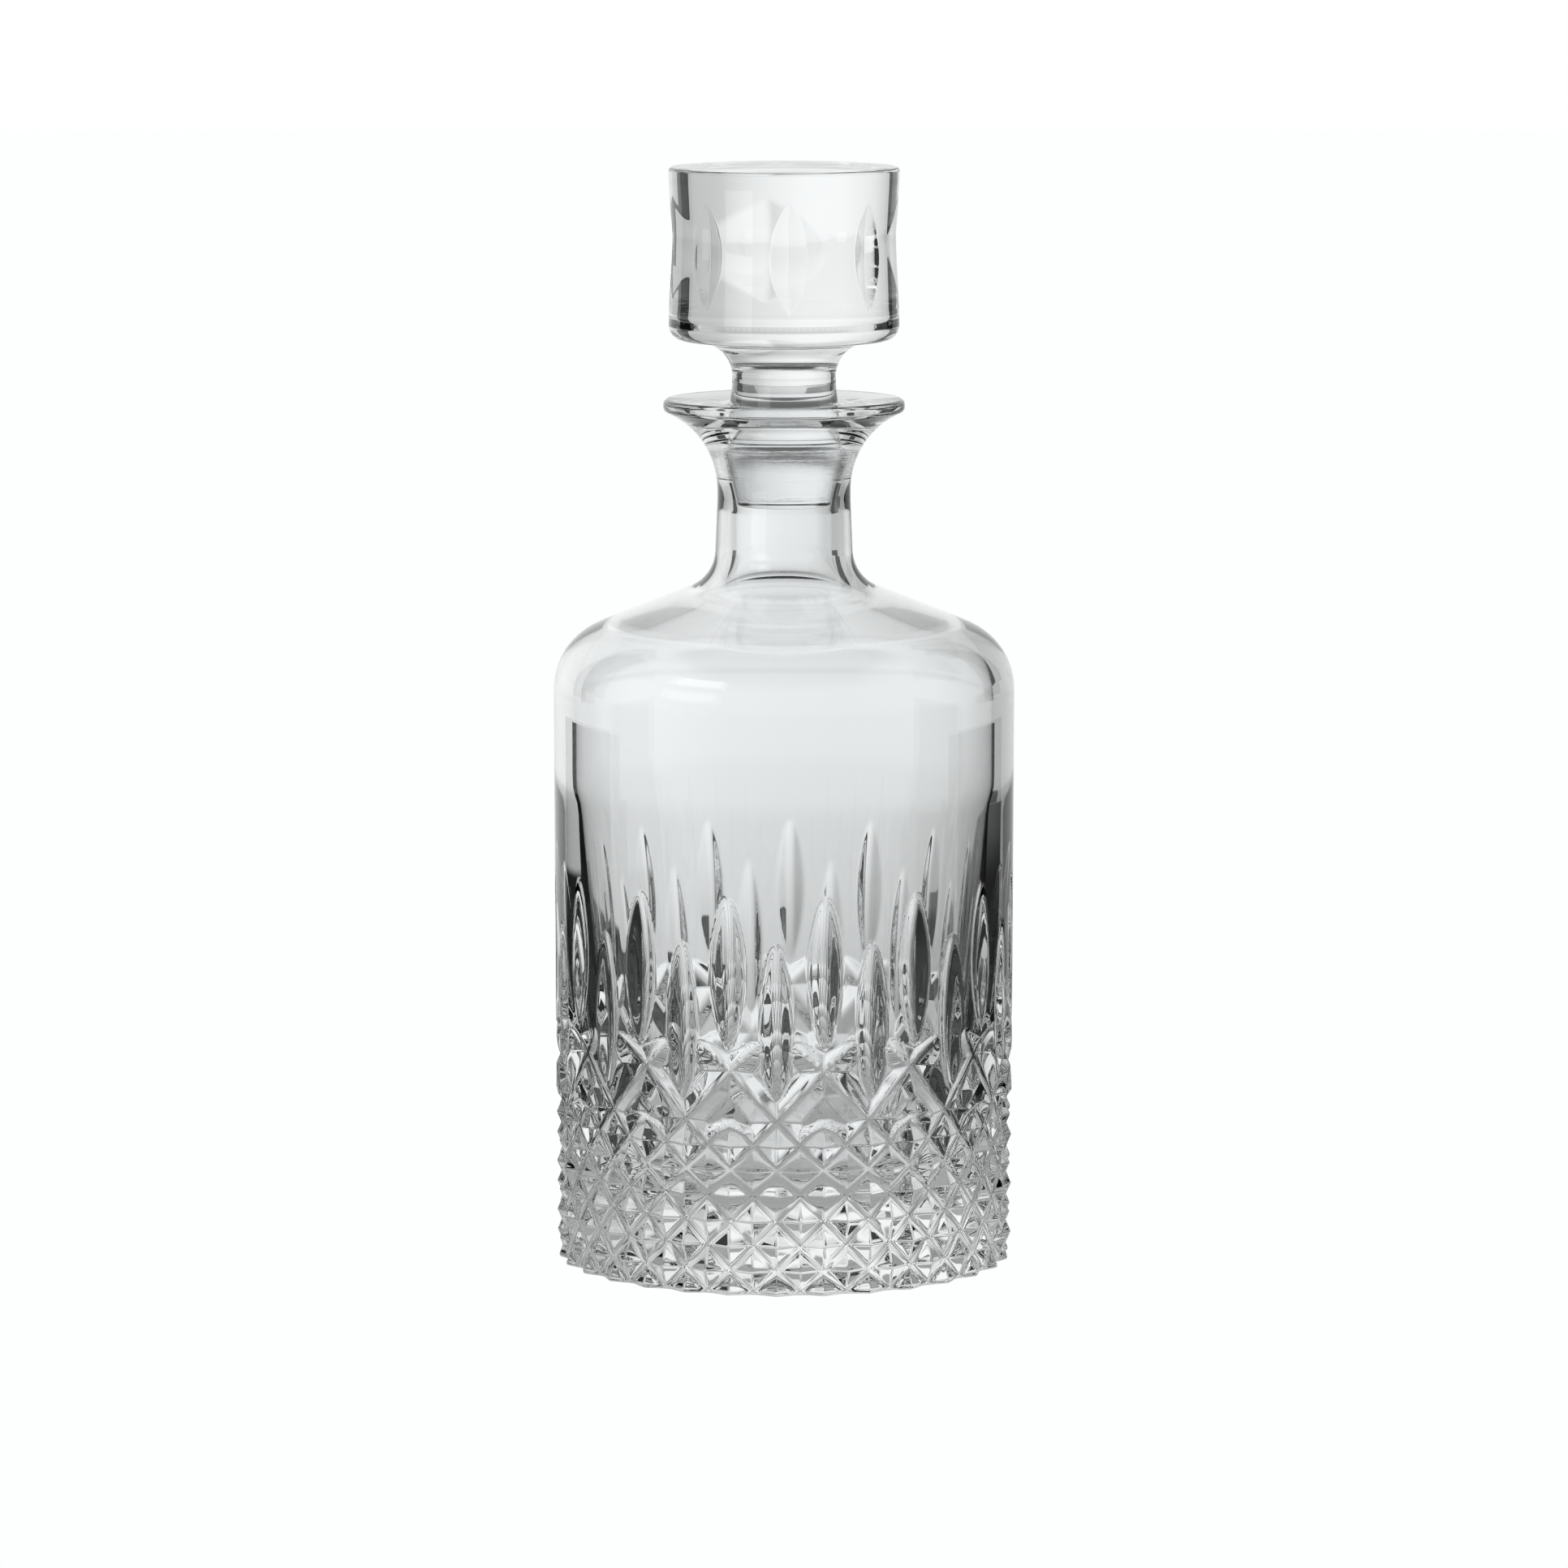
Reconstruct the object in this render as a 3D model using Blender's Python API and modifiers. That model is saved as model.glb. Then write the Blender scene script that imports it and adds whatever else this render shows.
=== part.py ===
"""Cut-crystal wine decanter with a solid ground stopper.

Frame: metres, +Z up, origin on the table under the decanter's axis.  The front
of the decanter faces -Y.  Two separate pieces of crystal make the object: the
blown and wheel-cut decanter body, and the solid stopper whose ground plug sits
in the ground seat of the neck.
"""
import math

import bmesh
import bpy

MM = 0.001               # metres in a millimetre

# ------------------------------------------- dimensions, in mm and degrees
# Z is a height above the table, R a radius from the axis, ROUND the radius
# of the arc that rounds a corner of a profile.

# stopper, from the top down
STOP_TOP_Z = 250.0
STOP_TOP_R = 26.2
STOP_TOP_ROUND = 0.7
STOP_WAIST_Z = 236.5
STOP_WAIST_R = 25.5
STOP_WAIST_ROUND = 63.0
STOP_LOW_Z = 219.7
STOP_LOW_R = 26.1
STOP_FOOT_Z = 211.2
STOP_FOOT_ROUND = 4.0
STEM_R = 11.6            # waist of the stem
STEM_TOP_Z = 209.0
STEM_TOP_ROUND = 7.4
STEM_WAIST_Z = 200.2
STEM_LOW_R = 13.0
STEM_LOW_Z = 189.8
STEM_LOW_ROUND = 0.6
PLUG_TOP_R = 13.4
PLUG_TOP_Z = 187.8
PLUG_FOOT_R = 10.7
PLUG_FOOT_Z = 173.1
PLUG_FOOT_ROUND = 1.0
FIT_GAP = 0.3            # between the ground plug and its seat
STOP_STEPS = 32          # segments round the stopper
STOP_TURN = 2.6          # turn of the stopper from the front
# decanter body, outside
BODY_R = 52.6            # straight side, just below the shoulder
BODY_R_BASE = 52.1       # the side narrows a little towards the base
BASE_EDGE = 0.95         # ground chamfer round the base
PLAIN_SIDE_Z = 105.0     # a ring of the profile on the side, above the diamonds
SHOULDER_EDGE_Z = 141.8  # where the shoulder cone meets the straight side
SHOULDER_ROUND = 15.8
SHOULDER_TOP_Z = 156.6   # where the shoulder cone meets the neck
SHOULDER_TOP_R = 15.9
NECK_FOOT_ROUND = 9.5
NECK_R = 15.1            # narrowest part of the neck
NECK_Z = 174.5
NECK_FLARE_Z = 189.3
NECK_FLARE_ROUND = 19.4
LIP_R = 27.4
LIP_LOW_Z = 194.8
LIP_LOW_ROUND = 1.15
LIP_TOP_Z = 197.5
LIP_TOP_ROUND = 1.25
LIP_FLAT_R = LIP_R - 2.0 # inner edge of the lip's level top
# decanter body, inside
FLOOR_Z = 19.4           # thick crystal base
FLOOR_R = 38.9
FLOOR_ROUND = 8.4
CAVITY_R = 47.5          # straight upper part of the cavity
CAVITY_LOW_Z = 109.3     # below this the wall thickens towards the floor
CAVITY_Z = 139.8
CAVITY_ROUND = 12.6
BORE_R = PLUG_FOOT_R + FIT_GAP
BORE_FOOT_Z = 153.1
BORE_FOOT_ROUND = 12.0
SEAT_LOW_Z = 172.7       # ground taper that takes the plug
SEAT_TOP_R = PLUG_TOP_R + FIT_GAP
SEAT_TOP_Z = PLUG_TOP_Z
MOUTH_R = 14.0
MOUTH_Z = 196.6
MOUTH_ROUND = 1.0
# resting ring and the hollow under the base
RING_IN_R = 39.9
HOLLOW_R = 38.4
HOLLOW_EDGE_Z = 1.26
HOLLOW_Z = 1.89
# diamond cutting: a lattice of columns round the body and rows down it
COLUMNS = 60             # half diamonds round the body
COLUMN_ANGLE = 360.0 / COLUMNS
CUT_TURN = -1.88         # turn of the pattern from the front
ROW0_Z = 50.978          # height of the first crossing of the long mitres
ROW_H = 5.673            # half a diamond's height
TIP_ROW = -1             # the row of the long mitres' upper tips
LAST_ROW = 9             # the row that falls on the base edge
GROOVE_DEPTH = 2.31
ARM_DEPTH = 2.00
ARM_TIP_DEPTH = 0.53
BASE_DEPTH_SHARE = 0.75  # share of the groove's depth left at the base
OUTER_WALL_R = BODY_R - 4.0  # parts the side's points from the cavity's
NEAR = 0.01              # slack when a height is compared
# olive cuts: foot height, top height, width
OLIVES = COLUMNS // 4    # in each of the body's two rows
UPPER_OLIVE = (56.8, 89.9, 7.5)
LOWER_OLIVE = (42.1, 79.4, 7.1)
OLIVE_DEPTH = 2.52
OLIVE_STEPS = 8          # segments along one cut
STOP_OLIVES = 8
STOP_OLIVE = (218.7, 242.9, 8.3)
STOP_OLIVE_DEPTH = 1.58
STOP_OLIVE_STEPS = 6
CUTTER_PROUD = 0.6       # how far the cutters stand out of the crystal
# profile arcs: turn of one step
CAVITY_ARC_STEP = 32.0
OUTSIDE_ARC_STEP = 20.0
STOP_ARC_STEP = 30.0
SHARP_ANGLE = 30.0       # edges that turn by more are shaded sharp


# ------------------------------------------------------------------- helpers
def clear_scene():
    for obj in list(bpy.data.objects):
        bpy.data.objects.remove(obj, do_unlink=True)


def collection(name):
    coll = bpy.data.collections.new(name)
    bpy.context.scene.collection.children.link(coll)
    return coll


def crystal(name, colour):
    """Clear polished crystal."""
    mat = bpy.data.materials.new(name)
    mat.use_nodes = True
    inputs = mat.node_tree.nodes["Principled BSDF"].inputs
    inputs["Base Color"].default_value = (*colour, 1.0)
    inputs["Roughness"].default_value = 0.0
    inputs["Metallic"].default_value = 0.0
    inputs["IOR"].default_value = 1.54
    inputs["Transmission Weight"].default_value = 1.0
    return mat


def direction(start, end):
    """Unit (r, z) direction between two profile corners."""
    dr, dz = end[0] - start[0], end[1] - start[1]
    length = math.hypot(dr, dz)
    return dr / length, dz / length


def corner_arc(before, corner, after, turn_step):
    """Points of the arc that rounds one (r, z, round) corner.

    The arc is tangent to the two straight runs that meet at the corner."""
    r, z, radius = corner
    back_r, back_z = direction(corner, before)
    on_r, on_z = direction(corner, after)
    turn = math.pi - math.acos(back_r * on_r + back_z * on_z)
    reach = radius * math.tan(turn / 2.0)       # corner to tangent point
    far = radius / math.cos(turn / 2.0)         # corner to arc centre
    mid_r, mid_z = back_r + on_r, back_z + on_z
    mid_length = math.hypot(mid_r, mid_z)
    centre_r = r + mid_r / mid_length * far
    centre_z = z + mid_z / mid_length * far
    start = math.atan2(z + back_z * reach - centre_z, r + back_r * reach - centre_r)
    end = math.atan2(z + on_z * reach - centre_z, r + on_r * reach - centre_r)
    sweep = (end - start + math.pi) % (2.0 * math.pi) - math.pi
    steps = max(1, round(math.degrees(abs(sweep)) / turn_step))
    angles = [start + sweep * i / steps for i in range(steps + 1)]
    return [(centre_r + radius * math.cos(angle), centre_z + radius * math.sin(angle))
            for angle in angles]


def rounded(corners, turn_step):
    """(r, z) polyline through (r, z, round) corners; a round of 0 stays sharp.

    One step of an arc turns by about turn_step degrees."""
    path = []
    for i, corner in enumerate(corners):
        if corner[2] > 0.0:
            path += corner_arc(corners[i - 1], corner, corners[i + 1], turn_step)
        else:
            path.append(corner[:2])
    return path


def apply_modifiers(obj):
    bpy.context.view_layer.update()
    deps = bpy.context.evaluated_depsgraph_get()
    fresh = bpy.data.meshes.new_from_object(obj.evaluated_get(deps))
    old = obj.data
    obj.modifiers.clear()
    obj.data = fresh
    bpy.data.meshes.remove(old)


def turned(name, path, steps, turn, coll):
    """Solid of revolution about Z from an (r, z) path, turned about Z."""
    mesh = bpy.data.meshes.new(name)
    verts = [(r * MM, 0.0, z * MM) for r, z in path]
    mesh.from_pydata(verts, [(i, i + 1) for i in range(len(verts) - 1)], [])
    obj = bpy.data.objects.new(name, mesh)
    coll.objects.link(obj)
    screw = obj.modifiers.new("turn", "SCREW")
    screw.axis = "Z"
    screw.angle = 2.0 * math.pi
    screw.steps = steps
    screw.use_merge_vertices = True
    screw.merge_threshold = 0.00001
    screw.use_smooth_shade = True
    apply_modifiers(obj)
    cos_turn, sin_turn = math.cos(math.radians(turn)), math.sin(math.radians(turn))
    for vert in obj.data.vertices:
        x, y = vert.co.x, vert.co.y
        vert.co.x = cos_turn * x - sin_turn * y
        vert.co.y = sin_turn * x + cos_turn * y
    return obj


# --------------------------------------------------------------- olive cuts
def spread(first, count):
    """Evenly spaced angles round the axis."""
    return [first + 360.0 / count * i for i in range(count)]


def wheel_sections(olive, depth, surface_r, steps):
    """(r, half width, z) of the cutter from its lower tip to its upper one.

    r is the radius of the V's edge.  The wheel lies in a plane through the
    decanter's axis.  Its rim is an arc whose chord is the olive's length and
    whose sagitta is the cut's depth; its V is set by the olive's width."""
    foot, top, width = olive
    half_length = (top - foot) / 2.0
    wheel_r = (half_length * half_length + depth * depth) / (2.0 * depth)
    mid = (top + foot) / 2.0
    # drop of the round surface from the cut's middle to its sides
    sink = surface_r - math.sqrt(surface_r ** 2 - (width / 2.0) ** 2)
    slope = (width / 2.0) / (depth - sink)      # half width per depth
    reach = math.sqrt(wheel_r ** 2 - (wheel_r - depth - CUTTER_PROUD) ** 2)
    outer = surface_r + CUTTER_PROUD
    sections = [(outer, 0.0, mid - reach)]
    for i in range(1, steps):
        angle = -math.asin(reach / wheel_r) * math.cos(math.pi * i / steps)
        r = surface_r - depth + wheel_r * (1.0 - math.cos(angle))
        sections.append((r, (outer - r) * slope, mid + wheel_r * math.sin(angle)))
    sections.append((outer, 0.0, mid + reach))
    return sections


def add_lens(build, sections, outer, degrees):
    """One closed lens, at an angle counted from the front towards +X."""
    angle = math.radians(degrees)
    sin_a, cos_a = math.sin(angle), math.cos(angle)

    def new_vert(r, across, z):
        return build.verts.new(((sin_a * r + cos_a * across) * MM,
                                (-cos_a * r + sin_a * across) * MM, z * MM))

    low_tip, high_tip = (new_vert(r, 0.0, z) for r, _, z in (sections[0], sections[-1]))
    rim, left, right = [low_tip], [low_tip], [low_tip]
    for r, half_width, z in sections[1:-1]:
        rim.append(new_vert(r, 0.0, z))
        left.append(new_vert(outer, -half_width, z))
        right.append(new_vert(outer, half_width, z))
    for chain in (rim, left, right):
        chain.append(high_tip)
    for one, two in ((rim, left), (left, right), (right, rim)):
        for i in range(len(sections) - 1):
            # the two chains share a vertex at each tip, which leaves a triangle
            loop = dict.fromkeys((one[i], one[i + 1], two[i + 1], two[i]))
            build.faces.new(list(loop))


def cut_olives(obj, name, olive, depth, surface_r, angles, steps, coll):
    """Cut olives into obj with lenses, as a V-edged wheel leaves them.

    Only the part of each wheel that meets the crystal is made, so
    neighbouring cutters stay apart."""
    sections = wheel_sections(olive, depth, surface_r, steps)
    build = bmesh.new()
    for degrees in angles:
        add_lens(build, sections, surface_r + CUTTER_PROUD, degrees)
    bmesh.ops.recalc_face_normals(build, faces=build.faces)
    mesh = bpy.data.meshes.new(name)
    build.to_mesh(mesh)
    build.free()
    cutter = bpy.data.objects.new(name, mesh)
    coll.objects.link(cutter)
    cutter.hide_render = True
    cutter.display_type = "WIRE"

    mod = obj.modifiers.new("cut_" + name, "BOOLEAN")
    mod.operation = "DIFFERENCE"
    mod.solver = "EXACT"
    mod.object = cutter


# ------------------------------------------------------------- decanter body
def row_z(row):
    return ROW0_Z - ROW_H * row


def side_r(z):
    """Outside radius of the uncut side."""
    return BODY_R_BASE + (BODY_R - BODY_R_BASE) * z / SHOULDER_EDGE_Z


def body_path():
    """Profile from the cavity floor, over the lip, to the middle of the hollow."""
    cavity = rounded([
        (0.0, FLOOR_Z, 0.0),
        (FLOOR_R, FLOOR_Z, FLOOR_ROUND),
        (CAVITY_R, CAVITY_LOW_Z, 0.0),
        (CAVITY_R, CAVITY_Z, CAVITY_ROUND),
        (BORE_R, BORE_FOOT_Z, BORE_FOOT_ROUND),
        (BORE_R, SEAT_LOW_Z, 0.0),
        (SEAT_TOP_R, SEAT_TOP_Z, 0.0),
        (MOUTH_R, MOUTH_Z, MOUTH_ROUND),
        (LIP_FLAT_R, LIP_TOP_Z, 0.0),
    ], CAVITY_ARC_STEP)
    outside = rounded([
        (LIP_FLAT_R, LIP_TOP_Z, 0.0),
        (LIP_R, LIP_TOP_Z, LIP_TOP_ROUND),
        (LIP_R, LIP_LOW_Z, LIP_LOW_ROUND),
        (NECK_R, NECK_FLARE_Z, NECK_FLARE_ROUND),
        (NECK_R, NECK_Z, 0.0),
        (SHOULDER_TOP_R, SHOULDER_TOP_Z, NECK_FOOT_ROUND),
        (BODY_R, SHOULDER_EDGE_Z, SHOULDER_ROUND),
        (side_r(PLAIN_SIDE_Z), PLAIN_SIDE_Z, 0.0),
    ], OUTSIDE_ARC_STEP)
    rows = [(side_r(row_z(row)), row_z(row)) for row in range(TIP_ROW, LAST_ROW)]
    base = [
        (side_r(BASE_EDGE), BASE_EDGE),
        (side_r(0.0) - BASE_EDGE, 0.0),
        (RING_IN_R, 0.0),
        (HOLLOW_R, HOLLOW_EDGE_Z),
        (0.0, HOLLOW_Z),
    ]
    return cavity + outside[1:] + rows + base


def groove_depth(col, row):
    """Depth of the mitre cuts at one corner of the half-diamond lattice.

    Mitres run along both diagonals of the lattice.  The long ones, fifteen
    each way, cross at row 0 and run up past it to fine tips.  The short ones
    lie half way between them and start at row 2."""
    if (col + row) % 2:
        return 0.0
    if row >= 2:
        return GROOVE_DEPTH
    if (col + row) % 4 == 2 or (col - row) % 4 == 2:
        return ARM_DEPTH if row >= 0 else ARM_TIP_DEPTH
    return 0.0


def press_lattice(obj):
    """Push the outside wall's lattice corners in to leave diamonds."""
    build = bmesh.new()
    build.from_mesh(obj.data)
    lattice = {}                                # vertex: (column, row)
    for vert in build.verts:
        x, y = vert.co.x, vert.co.y
        r = math.hypot(x, y) / MM
        z = vert.co.z / MM
        if r < OUTER_WALL_R or z > row_z(TIP_ROW) + NEAR:
            continue
        angle = math.degrees(math.atan2(y, x)) + 90.0 - CUT_TURN
        col = round(angle / COLUMN_ANGLE) % COLUMNS
        row = LAST_ROW if z < BASE_EDGE + NEAR else round((ROW0_Z - z) / ROW_H)
        lattice[vert] = (col, row)
        depth = groove_depth(col, row)
        if z < NEAR:
            depth *= BASE_DEPTH_SHARE           # the groove runs out at the base
        shrink = (r - depth) / r
        vert.co.x, vert.co.y = x * shrink, y * shrink
    # split each lattice cell along the diagonal that follows the mitre
    for face in list(build.faces):
        if len(face.verts) != 4 or any(vert not in lattice for vert in face.verts):
            continue
        ends = [vert for vert in face.verts if sum(lattice[vert]) % 2 == 0]
        if len(ends) == 2 and lattice[ends[0]][1] != lattice[ends[1]][1]:
            bmesh.utils.face_split(face, ends[0], ends[1])
    # the other quads on pressed rings, except the level ring under the base
    quads = [face for face in build.faces if len(face.verts) == 4
             and any(vert in lattice for vert in face.verts)
             and abs(face.normal.z) < 0.999]
    bmesh.ops.triangulate(build, faces=quads)
    build.to_mesh(obj.data)
    build.free()


def make_body(coll, cutters):
    obj = turned("decanter_body", body_path(), COLUMNS, CUT_TURN, coll)
    press_lattice(obj)
    # the upper olives stand half a pitch, two columns, from the lower ones
    for name, olive, first_col in (("upper_olives", UPPER_OLIVE, 2),
                                   ("lower_olives", LOWER_OLIVE, 0)):
        foot, top, _ = olive
        cut_olives(obj, name, olive, depth=OLIVE_DEPTH,
                   surface_r=side_r((foot + top) / 2.0),
                   angles=spread(CUT_TURN + first_col * COLUMN_ANGLE, OLIVES),
                   steps=OLIVE_STEPS, coll=cutters)
    obj.data.materials.append(crystal("crystal_body", colour=(0.93, 0.95, 0.95)))
    return obj


# ------------------------------------------------------------------- stopper
def stopper_path():
    """Profile from the middle of the top down to the foot of the plug."""
    return rounded([
        (0.0, STOP_TOP_Z, 0.0),
        (STOP_TOP_R, STOP_TOP_Z, STOP_TOP_ROUND),
        (STOP_WAIST_R, STOP_WAIST_Z, STOP_WAIST_ROUND),
        (STOP_LOW_R, STOP_LOW_Z, 0.0),
        (STOP_LOW_R, STOP_FOOT_Z, STOP_FOOT_ROUND),
        (STEM_R, STEM_TOP_Z, STEM_TOP_ROUND),
        (STEM_R, STEM_WAIST_Z, 0.0),
        (STEM_LOW_R, STEM_LOW_Z, STEM_LOW_ROUND),
        (PLUG_TOP_R, PLUG_TOP_Z, 0.0),
        (PLUG_FOOT_R, PLUG_FOOT_Z, PLUG_FOOT_ROUND),
        (0.0, PLUG_FOOT_Z, 0.0),
    ], STOP_ARC_STEP)


def make_stopper(coll, cutters):
    obj = turned("stopper", stopper_path(), STOP_STEPS, STOP_TURN, coll)
    cut_olives(obj, "stopper_olives", STOP_OLIVE, depth=STOP_OLIVE_DEPTH,
               surface_r=STOP_WAIST_R, angles=spread(STOP_TURN, STOP_OLIVES),
               steps=STOP_OLIVE_STEPS, coll=cutters)
    obj.data.materials.append(crystal("crystal_stopper", colour=(0.94, 0.95, 0.95)))
    return obj


def main():
    clear_scene()
    parts = collection("wine_decanter")
    cutters = collection("cutters")
    root = bpy.data.objects.new("decanter_axis", None)
    lift = bpy.data.objects.new("stopper_lift_axis", None)
    for empty in (root, lift):
        parts.objects.link(empty)
    lift.parent = root
    body = make_body(parts, cutters)
    body.parent = root
    stopper = make_stopper(parts, cutters)
    stopper.parent = lift
    for obj in (body, stopper):
        obj.data.shade_smooth()
        obj.data.set_sharp_from_angle(angle=math.radians(SHARP_ANGLE))


main()
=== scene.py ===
"""Cut-crystal wine decanter with its stopper, in a light studio.

The decanter stands on z = 0 with its axis on Z; the camera looks from -Y.  Both
crystal pieces are fine closed surfaces: a turned outline, with the wheel cuts
(mitres, olives) taken out of it as smooth depth functions over the surface.
Lengths are drawing millimetres; UNIT turns them into the frame's metres.
"""
import math

import bpy
import numpy as np
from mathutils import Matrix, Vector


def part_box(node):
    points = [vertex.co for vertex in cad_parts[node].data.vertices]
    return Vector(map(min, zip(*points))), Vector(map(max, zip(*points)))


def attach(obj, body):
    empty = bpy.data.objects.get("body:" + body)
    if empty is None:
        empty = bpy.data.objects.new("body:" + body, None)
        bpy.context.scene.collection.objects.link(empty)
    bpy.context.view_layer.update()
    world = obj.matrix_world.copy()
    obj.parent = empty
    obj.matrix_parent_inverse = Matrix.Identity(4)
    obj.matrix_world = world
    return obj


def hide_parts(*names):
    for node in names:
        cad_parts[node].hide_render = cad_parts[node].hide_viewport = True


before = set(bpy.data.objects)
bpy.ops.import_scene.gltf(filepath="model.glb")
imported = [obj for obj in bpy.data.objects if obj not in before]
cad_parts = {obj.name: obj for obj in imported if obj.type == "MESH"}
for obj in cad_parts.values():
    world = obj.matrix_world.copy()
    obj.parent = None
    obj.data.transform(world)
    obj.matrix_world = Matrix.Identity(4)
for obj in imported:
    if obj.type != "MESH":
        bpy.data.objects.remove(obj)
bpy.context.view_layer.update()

STOPPER_TOP = 237.8              # height of the stopper's flat top
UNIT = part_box("stopper")[1].z / STOPPER_TOP


# ------------------------------------------------------------------ outlines
def rounded(corners, turn_step=6.0):
    """(r, z) polyline through (r, z, round) corners, rounded by true arcs.

    turn_step is the angle of one arc segment in degrees."""
    path = []
    last = len(corners) - 1
    for i, (r, z, radius) in enumerate(corners):
        if i in (0, last) or radius <= 0.0:
            path.append((r, z))
            continue
        corner = np.array((r, z))
        back = np.array(corners[i - 1][:2], float) - corner
        ahead = np.array(corners[i + 1][:2], float) - corner
        back /= np.linalg.norm(back)
        ahead /= np.linalg.norm(ahead)
        turn = math.pi - math.acos(max(-1.0, min(1.0, float(back @ ahead))))
        reach = radius * math.tan(turn / 2.0)
        middle = (back + ahead) / np.linalg.norm(back + ahead)
        centre = corner + middle * radius / math.cos(turn / 2.0)
        first_arm = corner + back * reach - centre
        last_arm = corner + ahead * reach - centre
        start = math.atan2(first_arm[1], first_arm[0])
        end = math.atan2(last_arm[1], last_arm[0])
        sweep = (end - start + math.pi) % (2.0 * math.pi) - math.pi
        steps = max(2, round(math.degrees(abs(sweep)) / turn_step))
        for s in range(steps + 1):
            angle = start + sweep * s / steps
            path.append((centre[0] + radius * math.cos(angle),
                         centre[1] + radius * math.sin(angle)))
    return path


def refine(path, longest):
    """Splits the straight runs of a path so that no run is longer than this."""
    out = [path[0]]
    for a, b in zip(path, path[1:]):
        n = max(1, math.ceil(math.hypot(b[0] - a[0], b[1] - a[1]) / longest))
        out += [(a[0] + (b[0] - a[0]) * i / n, a[1] + (b[1] - a[1]) * i / n)
                for i in range(1, n + 1)]
    return out


# ---------------------------------------------------------------- wheel cuts
def smooth_max(a, b, blend):
    near = np.maximum(blend - np.abs(a - b), 0.0) / blend
    return np.maximum(a, b) + near * near * blend * 0.25


def vee(dist, deep, slope, bottom_r):
    """Depth of a V cut with a rounded bottom, at a distance from its line."""
    theta = math.atan(slope)
    arc_half = bottom_r * math.sin(theta)
    arc = (deep - slope * arc_half
           + np.sqrt(np.maximum(bottom_r * bottom_r - dist * dist, 0.0))
           - math.sqrt(bottom_r * bottom_r - arc_half * arc_half))
    return np.where(dist < arc_half, arc, deep - slope * dist)


def olive(dist, z, foot, top, width, bottom_r, slope, margin):
    """Depth of an upright V-sectioned cut, deepest half way up.

    It is ignored further than the margin beyond its foot and top."""
    lip = bottom_r * (1.0 / math.cos(math.atan(slope)) - 1.0)
    deepest = slope * width / 2.0
    half, mid = (top - foot) / 2.0, (top + foot) / 2.0
    deep = deepest - (deepest - lip) * ((z - mid) / half) ** 2
    cut = vee(dist, deep, slope, bottom_r)
    return np.where(np.abs(z - mid) > half + margin, -1.0, cut)


def nearest(x, period):
    """Signed distance from x to the nearest multiple of the period."""
    return (x + period / 2.0) % period - period / 2.0


# ---------------------------------------------------------------- mesh tools
def crowd(u, amount=0.35):
    """Eases even steps so that they crowd at every whole number."""
    return u - amount * np.sin(2.0 * math.pi * u) / (2.0 * math.pi)


def ring(radius, z, count, turn, share=None):
    """Points of one ring; radius may differ from point to point.

    turn is in degrees from the front towards +X; share gives the points'
    places round the ring, from 0 to 1."""
    share = np.arange(count) / count if share is None else share
    angle = np.radians(turn - 90.0) + 2.0 * math.pi * share
    r = np.broadcast_to(np.asarray(radius, float), (count,))
    heights = np.broadcast_to(np.asarray(z, float), (count,))
    return np.stack([r * np.cos(angle), r * np.sin(angle), heights], 1)


def pole(z):
    """Ring of one point on the axis."""
    return ring(0.0, z, 1, 0.0)


def turned(path, count, turn):
    """Plain round rings through an (r, z) path."""
    return [ring(r, z, count, turn) for r, z in path]


def lathe(name, rings, leans=None, crisp=0.0):
    """Closed surface through rings of points; the first and last are points.

    Neighbouring rings have equal counts, or one has a whole multiple of the
    other's.  leans[i] tells, for each quad above ring i, which diagonal splits
    it; strips without an entry stay quads.  crisp is the angle in degrees
    beyond which edges are sharp."""
    leans = leans or {}
    quads, tris = [], []
    low = 0                      # index of the lower ring's first point
    for i in range(len(rings) - 1):
        n, m = len(rings[i]), len(rings[i + 1])
        high = low + n
        if n == m:
            j = np.arange(n)
            strip = np.stack([low + j, low + (j + 1) % n, high + (j + 1) % n, high + j], 1)
            if i in leans:
                up, down = strip[leans[i]], strip[~leans[i]]
                tris += [up[:, [0, 1, 2]], up[:, [0, 2, 3]],
                         down[:, [0, 1, 3]], down[:, [1, 2, 3]]]
            else:
                quads.append(strip)
        elif n > m:
            f = n // m
            j, c = np.arange(n), np.arange(m)
            apex = high + (j // f + (j % f >= f // 2)) % m
            tris.append(np.stack([low + j, low + (j + 1) % n, apex], 1))
            if m > 1:
                apex = low + (c * f + f // 2) % n
                tris.append(np.stack([apex, high + (c + 1) % m, high + c], 1))
        else:
            f = m // n
            j, c = np.arange(m), np.arange(n)
            apex = low + (j // f + (j % f >= f // 2)) % n
            tris.append(np.stack([apex, high + (j + 1) % m, high + j], 1))
            if n > 1:
                apex = high + (c * f + f // 2) % m
                tris.append(np.stack([low + c, low + (c + 1) % n, apex], 1))
        low = high
    points = np.concatenate(rings) * UNIT
    quads = np.concatenate(quads) if quads else np.zeros((0, 4), int)
    tris = np.concatenate(tris) if tris else np.zeros((0, 3), int)
    nq, nt = len(quads), len(tris)
    mesh = bpy.data.meshes.new(name)
    mesh.vertices.add(len(points))
    mesh.vertices.foreach_set("co", points.astype(np.float32).ravel())
    mesh.loops.add(nq * 4 + nt * 3)
    mesh.loops.foreach_set("vertex_index", np.concatenate(
        [quads.ravel(), tris.ravel()]).astype(np.int32))
    mesh.polygons.add(nq + nt)
    mesh.polygons.foreach_set("loop_start", np.concatenate(
        [np.arange(nq) * 4, nq * 4 + np.arange(nt) * 3]).astype(np.int32))
    mesh.update(calc_edges=True)
    mesh.validate()
    mesh.shade_smooth()
    if crisp:
        mesh.set_sharp_from_angle(angle=math.radians(crisp))
    return add_object(name, mesh)


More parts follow.
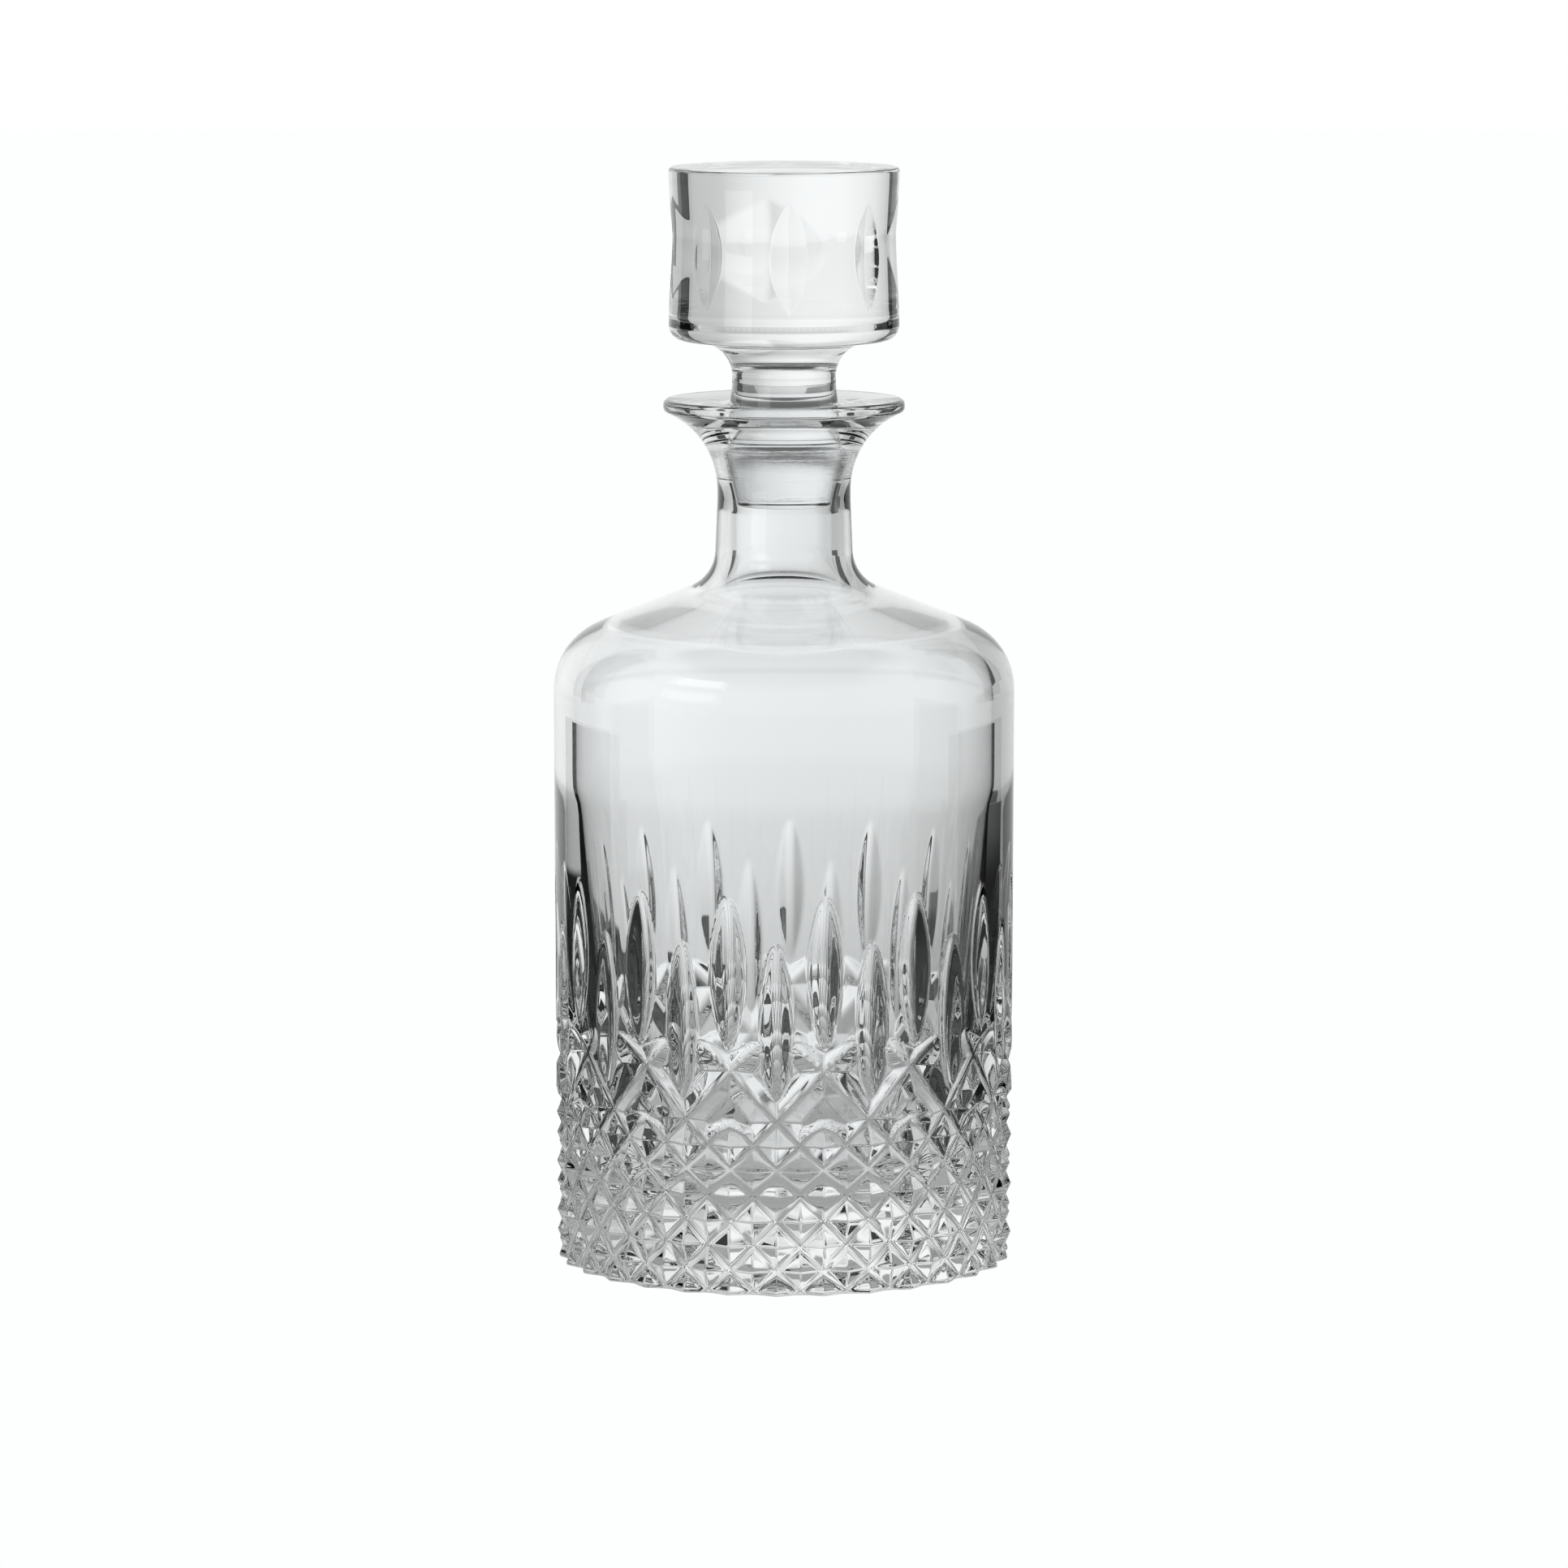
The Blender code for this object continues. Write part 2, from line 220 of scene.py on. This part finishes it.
def add_object(name, data):
    obj = bpy.data.objects.new(name, data)
    bpy.context.scene.collection.objects.link(obj)
    return obj


# --------------------------------------------------------------------- body
BODY_R, BODY_R_BASE, SHOULDER_Z = 50.0, 49.6, 134.9
CUT_TURN = -1.88                 # degrees, from the front towards +X
EDGE_R = 1.0                     # rounding of the bottom edge
SIDE_TOP_Z = 92.0                # plain side above the cuts, where OUTSIDE starts

# The cuts lie on a lattice: columns round the body, rows counted downwards
COLUMNS = 60
PERIOD = 4.0                     # columns from one cut to the next of its kind
ROW0, ROW = 48.49, 5.396         # first crossing of the long mitres, half diamond
STEP = 2.0 * math.pi * BODY_R / COLUMNS
ACROSS = 1.0 / math.hypot(1.0 / STEP, 1.0 / ROW)   # line distance per lattice unit
ALONG = math.hypot(STEP, ROW)
MITRE_DEEP, MITRE_BOTTOM_R = 2.2, 1.9
MITRE_SLOPE = MITRE_DEEP / ACROSS
RIDGE = 0.09                     # how far polishing has rounded the ridges
OLIVE_RIDGE = 0.30
# column shift, row where fading starts, fade length, fade power, cut-off length
MITRES = ((2.0, 0.0, 9.3, 2.3, 11.0),    # long: run up past row 0 to fine tips
          (0.0, 2.5, 4.9, 2, 6.5))       # short: fade in half way between
# first column, foot, top, width
OLIVES = ((2.0, 54.0, 85.5, 7.1), (0.0, 40.0, 75.5, 6.8))

SUB = 14                         # points per column, and per row of the mitres
FINE = COLUMNS * SUB             # points of a ring with cuts
COARSE = 280                     # points of a plain ring
LAST_ROW = 9                     # lowest lattice row
MITRE_TOP_Z = 54.5               # above this the rings are evenly spaced
EVEN_RISE, EVEN_TOP_Z = 0.45, 87.8

# Outlines: r, z, rounding
# underneath: shallow hollow, then the flat resting ring
UNDER = [(0.0, 1.8, 0.0), (36.5, 1.2, 2.0), (38.2, 0.0, 0.6), (42.0, 0.0, 0.0)]


def side_r(z):
    return BODY_R_BASE + (BODY_R - BODY_R_BASE) * z / SHOULDER_Z


# up the side, shoulder and neck, over the rim and down the inside
OUTSIDE = [
    (side_r(SIDE_TOP_Z), SIDE_TOP_Z, 0.0),
    (BODY_R, SHOULDER_Z, 15.0),
    (15.1, 149.1, 9.0),
    (14.4, 166.0, 60.0),
    (14.4, 180.1, 18.45),
    (26.1, 185.3, 1.1),
    (26.1, 187.9, 1.2),
    (24.1, 187.75, 0.0),
    (13.3, 187.0, 1.2),
    (12.9, 178.6, 0.0),
    (10.5, 163.6, 6.0),
    (10.4, 145.6, 14.0),
    (45.2, 133.2, 13.0),
    (45.2, 104.0, 40.0),
    (38.7, 30.0, 20.0),
    (37.6, 18.8, 10.0),
    (0.0, 18.3, 0.0),
]


def body_depth(col, z):
    """Depth of all cuts on the body at lattice column col and height z."""
    row = (ROW0 - z) / ROW
    depth = np.zeros_like(z)
    for shift, fade_row, fade, power, end in MITRES:
        for sign in (1.0, -1.0):
            off = nearest(col + sign * row - shift, PERIOD)
            past = np.maximum(fade_row - row, 0.0) * ALONG
            deep = MITRE_DEEP * (1.0 - (past / fade) ** power)
            cut = vee(np.abs(off) * ACROSS, deep, MITRE_SLOPE, MITRE_BOTTOM_R)
            depth = smooth_max(depth, np.where(past > end, -1.0, cut), RIDGE)
    for first, foot, top, width in OLIVES:
        off = np.abs(nearest(col - first, PERIOD)) * STEP
        cut = olive(off, z, foot, top, width, bottom_r=2.0, slope=0.72, margin=3.0)
        depth = smooth_max(depth, cut, OLIVE_RIDGE)
    return depth


def cut_heights():
    """Ring heights of the cut zone, crowding at the lattice rows."""
    heights = [0.0, 0.16, 0.5, EDGE_R]
    for i in range((LAST_ROW + 1) * SUB, -SUB, -1):
        z = ROW0 - ROW * float(crowd(i / SUB))
        if heights[-1] + 0.1 < z < MITRE_TOP_Z:
            heights.append(z)
    while heights[-1] < EVEN_TOP_Z:
        heights.append(heights[-1] + EVEN_RISE)
    return heights + [89.5]


def make_body():
    under = refine(rounded(UNDER, 15.0), 6.0)
    rings = [pole(under[0][1])] + turned(under[1:], COARSE, CUT_TURN)
    leans = {}
    col = crowd(np.arange(FINE) / SUB)
    share = col / COLUMNS
    cell_col = np.arange(FINE) // SUB
    for z in cut_heights():
        r = side_r(z) - body_depth(col, np.full(FINE, z))
        if z < EDGE_R:
            r = r - (EDGE_R - math.sqrt(EDGE_R ** 2 - (EDGE_R - z) ** 2))
        if z == 0.0:             # outer border of the resting ring
            rings.append(ring(np.minimum(r - 0.9, 44.6), z, FINE, CUT_TURN, share))
        # diagonals follow the mitres: nodes are where column + row is even
        cell_row = math.floor((ROW0 - z) / ROW - 1e-6)
        leans[len(rings)] = (cell_col + cell_row + 1) % 2 == 0
        rings.append(ring(r, z, FINE, CUT_TURN, share))
    rings += turned([(side_r(z), z) for z in (90.5, SIDE_TOP_Z)], COARSE, CUT_TURN)
    outside = refine(rounded(OUTSIDE, 4.0), 2.6)
    rings += turned(outside[1:-1], COARSE, CUT_TURN)
    rings.append(pole(OUTSIDE[-1][1]))
    # the last fine ring joins a coarse one, so its lean goes unused
    return lathe("crystal_decanter", rings, leans)


# ------------------------------------------------------------------ stopper
STOPPER_TURN = 2.6               # degrees, from the front towards +X
STOPPER_FINE, STOPPER_COARSE = 720, 120
STOPPER_BOTTOM = 164.7
HEAD_FOOT_Z, HEAD_TOP_Z = 204.6, 233.0    # the head between them carries the olives
HEAD_RISE = 0.35                 # ring spacing there
HEAD_CUT_R = 24.4                # radius at which the olives' widths are measured

# Outlines from the top down: r, z, rounding
CROWN = [(0.0, STOPPER_TOP, 0.0), (24.95, STOPPER_TOP, 0.8), (24.72, HEAD_TOP_Z, 0.0)]
HEAD = [(24.72, HEAD_TOP_Z, 0.0), (24.2, 224.0, 40.0), (24.8, 207.0, 0.0),
        (24.9, HEAD_FOOT_Z, 0.0)]
PLUG = [
    (24.9, HEAD_FOOT_Z, 0.0),
    (24.9, 200.9, 3.2),
    (10.9, 199.2, 7.5),
    (11.3, 190.0, 9.0),
    (12.45, 180.4, 1.2),
    (12.75, 178.5, 0.5),
    (10.35, STOPPER_BOTTOM, 0.6),
    (0.0, STOPPER_BOTTOM, 0.0),
]


def stopper_depth(deg, z):
    """Depth of the eight olives round the head."""
    off = np.abs(nearest(deg, 45.0)) * math.pi / 180.0 * HEAD_CUT_R
    cut = olive(off, z, foot=207.5, top=231.5, width=7.9,
                bottom_r=0.4, slope=0.33, margin=2.0)
    return smooth_max(np.zeros_like(cut), cut, 0.08)


def make_stopper():
    crown = refine(rounded(CROWN, 12.0), 4.0)
    head_r, head_z = np.array(rounded(HEAD, 1.0)[::-1]).T
    plug = refine(rounded(PLUG, 5.0), 2.0)
    rings = [pole(STOPPER_BOTTOM)] + turned(plug[-2:0:-1], STOPPER_COARSE, STOPPER_TURN)
    deg = np.arange(STOPPER_FINE) * 360.0 / STOPPER_FINE
    for z in np.arange(HEAD_FOOT_Z, HEAD_TOP_Z + 0.01, HEAD_RISE):
        r = float(np.interp(z, head_z, head_r)) - stopper_depth(deg, np.full(STOPPER_FINE, z))
        rings.append(ring(r, z, STOPPER_FINE, STOPPER_TURN))
    rings += turned(crown[-2:0:-1], STOPPER_COARSE, STOPPER_TURN)
    rings.append(pole(STOPPER_TOP))
    return lathe("crystal_stopper_piece", rings, crisp=27.0)


# ------------------------------------------------------------- shader graphs
class Graph:
    """Small helper that writes maths as shader nodes."""

    def __init__(self, tree):
        self.tree = tree

    def node(self, kind, **props):
        n = self.tree.nodes.new(kind)
        for key, value in props.items():
            setattr(n, key, value)
        return n

    def put(self, socket, value):
        """Sets a socket to a number, or links an output to it."""
        if isinstance(value, (int, float)):
            socket.default_value = value
        else:
            self.tree.links.new(value, socket)

    def maths(self, op, *args):
        n = self.node("ShaderNodeMath", operation=op)
        for i, arg in enumerate(args):
            self.put(n.inputs[i], arg)
        return n.outputs[0]

    def invert(self, x):
        return self.maths("SUBTRACT", 1.0, x)

    def radius(self, x, y):
        return self.maths("SQRT", self.maths(
            "ADD", self.maths("MULTIPLY", x, x), self.maths("MULTIPLY", y, y)))

    def degrees(self, op, *args):
        return self.maths("MULTIPLY", self.maths(op, *args), 180.0 / math.pi)

    def position(self, unit_length=False):
        """Object coordinates x, y, z, or the direction they lie in."""
        point = self.node("ShaderNodeTexCoord").outputs["Object"]
        if unit_length:
            norm = self.node("ShaderNodeVectorMath", operation="NORMALIZE")
            self.put(norm.inputs[0], point)
            point = norm.outputs[0]
        split = self.node("ShaderNodeSeparateXYZ")
        self.put(split.inputs[0], point)
        return split.outputs

    def map_range(self, x, low, high, kind):
        n = self.node("ShaderNodeMapRange", interpolation_type=kind)
        self.put(n.inputs["Value"], x)
        n.inputs["From Min"].default_value = low
        n.inputs["From Max"].default_value = high
        return n.outputs[0]

    def step(self, x, low, high):
        return self.map_range(x, low, high, "SMOOTHSTEP")

    def band(self, x, low, high, soft):
        up = self.step(x, low - soft, low + soft)
        down = self.step(x, high - soft, high + soft)
        return self.maths("MULTIPLY", up, self.invert(down))

    def curve(self, x, points):
        """Smooth curve through (x, value) points."""
        low, high = points[0][0], points[-1][0]
        n = self.node("ShaderNodeFloatCurve")
        line = n.mapping.curves[0]
        line.points[0].location = (0.0, points[0][1])
        line.points[1].location = (1.0, points[-1][1])
        for px, value in points[1:-1]:
            line.points.new((px - low) / (high - low), value)
        n.mapping.use_clip = False
        n.mapping.update()
        self.put(n.inputs["Value"], self.map_range(x, low, high, "LINEAR"))
        return n.outputs[0]

    def mix(self, a, b, share):
        n = self.node("ShaderNodeMix", data_type="FLOAT")
        self.put(n.inputs[0], share)
        self.put(n.inputs[2], a)
        self.put(n.inputs[3], b)
        return n.outputs[0]


# ---------------------------------------------------------------- materials
TINT = (0.985, 0.992, 0.992, 1.0)
IOR = 1.54
GROUND_HAZE = 0.07               # most roughness on the ground tapers
GROUND_RELIEF = 0.10             # height of their relief
STREAK_SCALE = (0.10, 0.10, 2.6)  # stretched round the axis, fine along the height


def crystal(name, foot, top, radius):
    """Clear crystal, wheel-ground from foot to top inside the radius.

    The ground taper keeps fine rings: a streaky relief and a little haze."""
    mat = bpy.data.materials.new(name)
    mat.use_nodes = True
    g = Graph(mat.node_tree)
    bsdf = mat.node_tree.nodes["Principled BSDF"]
    bsdf.inputs["Base Color"].default_value = TINT
    bsdf.inputs["IOR"].default_value = IOR
    bsdf.inputs["Transmission Weight"].default_value = 1.0
    x, y, z = (g.maths("DIVIDE", s, UNIT) for s in g.position())
    around = g.radius(x, y)
    place = g.maths("MULTIPLY", g.band(z, foot, top, soft=0.25),
                    g.invert(g.step(around, low=radius, high=radius + 0.2)))
    stretched = g.node("ShaderNodeCombineXYZ")
    for socket, value, scale in zip(stretched.inputs, (x, y, z), STREAK_SCALE):
        g.put(socket, g.maths("MULTIPLY", value, scale))
    noise = g.node("ShaderNodeTexNoise")
    g.put(noise.inputs["Vector"], stretched.outputs[0])
    noise.inputs["Scale"].default_value = 1.0
    noise.inputs["Detail"].default_value = 3.0
    streak = noise.outputs[0]
    haze = g.maths("MULTIPLY", g.step(streak, low=0.45, high=0.75), GROUND_HAZE)
    g.put(bsdf.inputs["Roughness"], g.maths("MULTIPLY", place, haze))
    bump = g.node("ShaderNodeBump")
    bump.inputs["Strength"].default_value = 1.0
    bump.inputs["Distance"].default_value = GROUND_RELIEF * UNIT
    g.put(bump.inputs["Height"], g.maths("MULTIPLY", place, streak))
    g.put(bsdf.inputs["Normal"], bump.outputs[0])
    return mat


def light_level(name):
    """Emission-only material; returns it, its graph and its strength socket."""
    mat = bpy.data.materials.new(name)
    mat.use_nodes = True
    mat.node_tree.nodes.clear()
    g = Graph(mat.node_tree)
    emit = g.node("ShaderNodeEmission")
    emit.inputs["Color"].default_value = (0.985, 0.998, 1.0, 1.0)
    out = g.node("ShaderNodeOutputMaterial")
    g.put(out.inputs["Surface"], emit.outputs[0])
    return mat, g, emit.inputs["Strength"]


# ------------------------------------------------------------------- studio
# Azimuths are degrees from straight behind the object, right positive.
# Black flags beside the object and small soft windows at the front left:
# name, azimuth from, to, distance, foot, top, level
SET = (
    ("flag_right", 49.0, 67.0, 400.0, 100.0, 146.0, 0.04),
    ("flag_right_head", 43.5, 58.0, 400.0, 146.0, 560.0, 0.04),
    ("flag_right_low", 51.0, 92.0, 240.0, 0.0, 93.0, 0.01),
    ("flag_left", -69.0, -56.0, 400.0, 100.0, 146.0, 0.10),
    ("flag_left_head", -76.0, -55.5, 400.0, 146.0, 560.0, 0.05),
    ("flag_left_low", -92.0, -49.5, 240.0, 0.0, 93.0, 0.01),
    ("window_head", -151.0, -124.0, 130.0, 190.0, 220.0, 1.9),
    ("window_neck", -151.0, -126.0, 130.0, 148.0, 172.0, 1.5),
)
# level of the backdrop by azimuth, and of the table by distance; the table's levels are
# painted shade, darker towards the foot
ROUND = ((-180.0, 0.64), (-130.0, 0.72), (-100.0, 0.85), (-80.0, 0.85), (-70.0, 0.66),
         (-58.0, 0.66), (-45.0, 0.80), (-30.0, 0.92), (-13.0, 0.99), (0.0, 0.93),
         (8.0, 0.86), (13.0, 0.80), (20.0, 0.68), (27.0, 0.58), (35.0, 0.55),
         (50.0, 0.50), (66.0, 0.52), (80.0, 0.80), (100.0, 0.85), (130.0, 0.72),
         (180.0, 0.64))
TABLE = ((0.0, 0.40), (120.0, 0.48), (350.0, 0.76), (650.0, 0.90), (1000.0, 0.95),
         (1500.0, 0.98), (2000.0, 0.98))
TABLE_END = 1999.0               # distances beyond this are read here
TOP_LEVEL, TOP_LEVEL_FRONT = 0.85, 0.10    # top light behind, and camera side
ZENITH_LEVEL = 0.06
BEHIND_DIP = 0.24                # share taken off high up straight behind
FAR_DIP = 0.08                   # share taken off the far table, a darker band painted on it
FOOT_SHADOW_LEVEL = (0.36, 0.64)        # painted shadow on the table close to the foot: behind and in front, at the sides
# painted shade on the table, dark patches on both sides: azimuth from, to, distance from, to,
# level far out
SIDE_SHADE_PATCHES = ((28.0, 108.0, 92.0, 330.0, 0.11), (38.0, 92.0, 330.0, 520.0, 0.11),
         (-108.0, -21.0, 92.0, 259.0, 0.02), (-92.0, -49.5, 259.0, 520.0, 0.02))
SIDE_SHADE_NEAR_LEVEL = 0.02               # painted shade level of those patches near the foot
DOME_R, FLOOR_R, FLOOR_Z = 6.0, 5.0, -0.0002    # metres


def panel(name, rig, az0, az1, dist, low, high, level):
    """Upright curved panel of the studio set, unseen by the camera itself."""
    steps = max(2, round(abs(az1 - az0) / 3.0))
    n = steps + 1
    az = np.radians(np.linspace(az0, az1, n))
    foot = np.stack([dist * np.sin(az), dist * np.cos(az), np.full(n, low)], 1)
    head = foot + (0.0, 0.0, high - low)
    points = np.concatenate([foot, head]) * UNIT
    faces = [(i, i + 1, n + i + 1, n + i) for i in range(steps)]
    mesh = bpy.data.meshes.new(name)
    mesh.from_pydata(points.tolist(), [], faces)
    obj = add_object(name, mesh)
    mat, g, strength = light_level(name)
    g.put(strength, level)
    mesh.materials.append(mat)
    obj.visible_camera = False
    obj.parent = rig


def make_dome(rig):
    """Backdrop whose level goes round with the azimuth; a soft top light above."""
    mat, g, strength = light_level("studio_dome")
    x, y, z = g.position(unit_length=True)
    az = g.degrees("ARCTAN2", x, y)
    el = g.degrees("ARCSINE", z)
    top = g.mix(TOP_LEVEL, TOP_LEVEL_FRONT,
                g.step(g.maths("ABSOLUTE", az), low=95.0, high=130.0))
    behind = g.maths("MULTIPLY", g.band(el, low=22.0, high=46.0, soft=6.0),
                     g.band(az, low=-34.0, high=34.0, soft=10.0))
    level = g.maths("MULTIPLY", g.curve(az, ROUND),
                    g.invert(g.maths("MULTIPLY", behind, BEHIND_DIP)))
    level = g.mix(level, top, g.step(el, low=30.0, high=55.0))
    level = g.mix(level, ZENITH_LEVEL, g.step(el, low=54.0, high=63.0))
    g.put(strength, level)
    bpy.ops.mesh.primitive_uv_sphere_add(segments=64, ring_count=32, radius=DOME_R)
    dome = bpy.context.object
    dome.name = "studio_dome"
    dome.data.materials.append(mat)
    dome.visible_camera = False
    dome.parent = rig
    return dome


def make_floor(rig):
    """The table: plain and pale to the camera.

    Through the crystal it shows painted shade: it falls off towards the foot and the camera
    side."""
    mat, g, strength = light_level("pale_floor")
    rays = g.node("ShaderNodeLightPath")
    x, y, _ = g.position()
    dist = g.maths("DIVIDE", g.radius(x, y), UNIT)
    az = g.degrees("ARCTAN2", x, y)
    # painted shade: the table darkens towards the foot and takes the backdrop's azimuth levels
    level = g.maths("MULTIPLY", g.curve(g.maths("MINIMUM", dist, TABLE_END), TABLE),
                    g.curve(az, ROUND))
    # a darker band painted on the far table
    far = g.band(dist, low=1700.0, high=2900.0, soft=400.0)
    level = g.maths("MULTIPLY", level, g.invert(g.maths("MULTIPLY", far, FAR_DIP)))
    # painted shadow on the table close to the foot
    foot = g.mix(*FOOT_SHADOW_LEVEL, g.band(g.maths("ABSOLUTE", az), low=42.0, high=122.0, soft=14.0))
    level = g.mix(foot, level, g.step(dist, low=70.0, high=190.0))
    outer = g.step(dist, low=250.0, high=300.0)
    # painted shade: dark patches on the table at both sides, seen through the crystal
    for az0, az1, near_end, far_end, far_level in SIDE_SHADE_PATCHES:
        patch = g.maths("MULTIPLY", g.band(az, az0, az1, soft=1.0),
                        g.band(dist, near_end, far_end, soft=4.0))
        level = g.mix(level, g.mix(SIDE_SHADE_NEAR_LEVEL, far_level, outer), patch)
    g.put(strength, g.mix(level, 1.0, rays.outputs["Is Camera Ray"]))
    bpy.ops.mesh.primitive_circle_add(vertices=96, radius=FLOOR_R, fill_type="NGON",
                                      location=(0, 0, FLOOR_Z))
    floor = bpy.context.object
    floor.name = "floor"
    floor.data.materials.append(mat)
    floor.parent = rig
    return floor


def make_studio():
    """Everything the crystal looks at.  The set turns with the camera."""
    scene = bpy.context.scene
    world = bpy.data.worlds.new("studio_world")
    scene.world = world
    world.use_nodes = True
    background = world.node_tree.nodes["Background"]
    background.inputs["Color"].default_value = (1, 1, 1, 1)
    background.inputs["Strength"].default_value = 1.0

    rig = add_object("light_rig", None)
    follow = rig.constraints.new("COPY_ROTATION")
    follow.target = scene.camera
    follow.use_x = follow.use_y = False
    dome = make_dome(rig)
    floor = make_floor(rig)
    for name, *sizes in SET:
        panel(name, rig, *sizes)


CAMERA_DIST, CAMERA_Z = 1732.06, 335.52
CAMERA_DIP = 0.1330              # radians below level


def make_camera():
    cam = bpy.data.cameras.new("camera")
    cam.lens = 184.56
    cam.sensor_width = 36.0
    cam.clip_end = 50.0
    obj = add_object("camera", cam)
    obj.location = (0.0, -CAMERA_DIST * UNIT, CAMERA_Z * UNIT)
    obj.rotation_euler = (math.pi / 2.0 - CAMERA_DIP, 0.0, 0.0)
    bpy.context.scene.camera = obj


make_camera()
make_studio()
body = make_body()
stopper = make_stopper()
body.data.materials.append(crystal("crystal_body", foot=171.0, top=178.6, radius=13.3))
stopper.data.materials.append(crystal("crystal_stopper", foot=166.2, top=178.0, radius=13.3))
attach(body, "decanter")
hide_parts("decanter_body")
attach(stopper, "stopper")
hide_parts("stopper")
bpy.context.scene.view_settings.view_transform = "Standard"
bpy.context.scene.view_settings.look = "None"

bpy.context.view_layer.update()
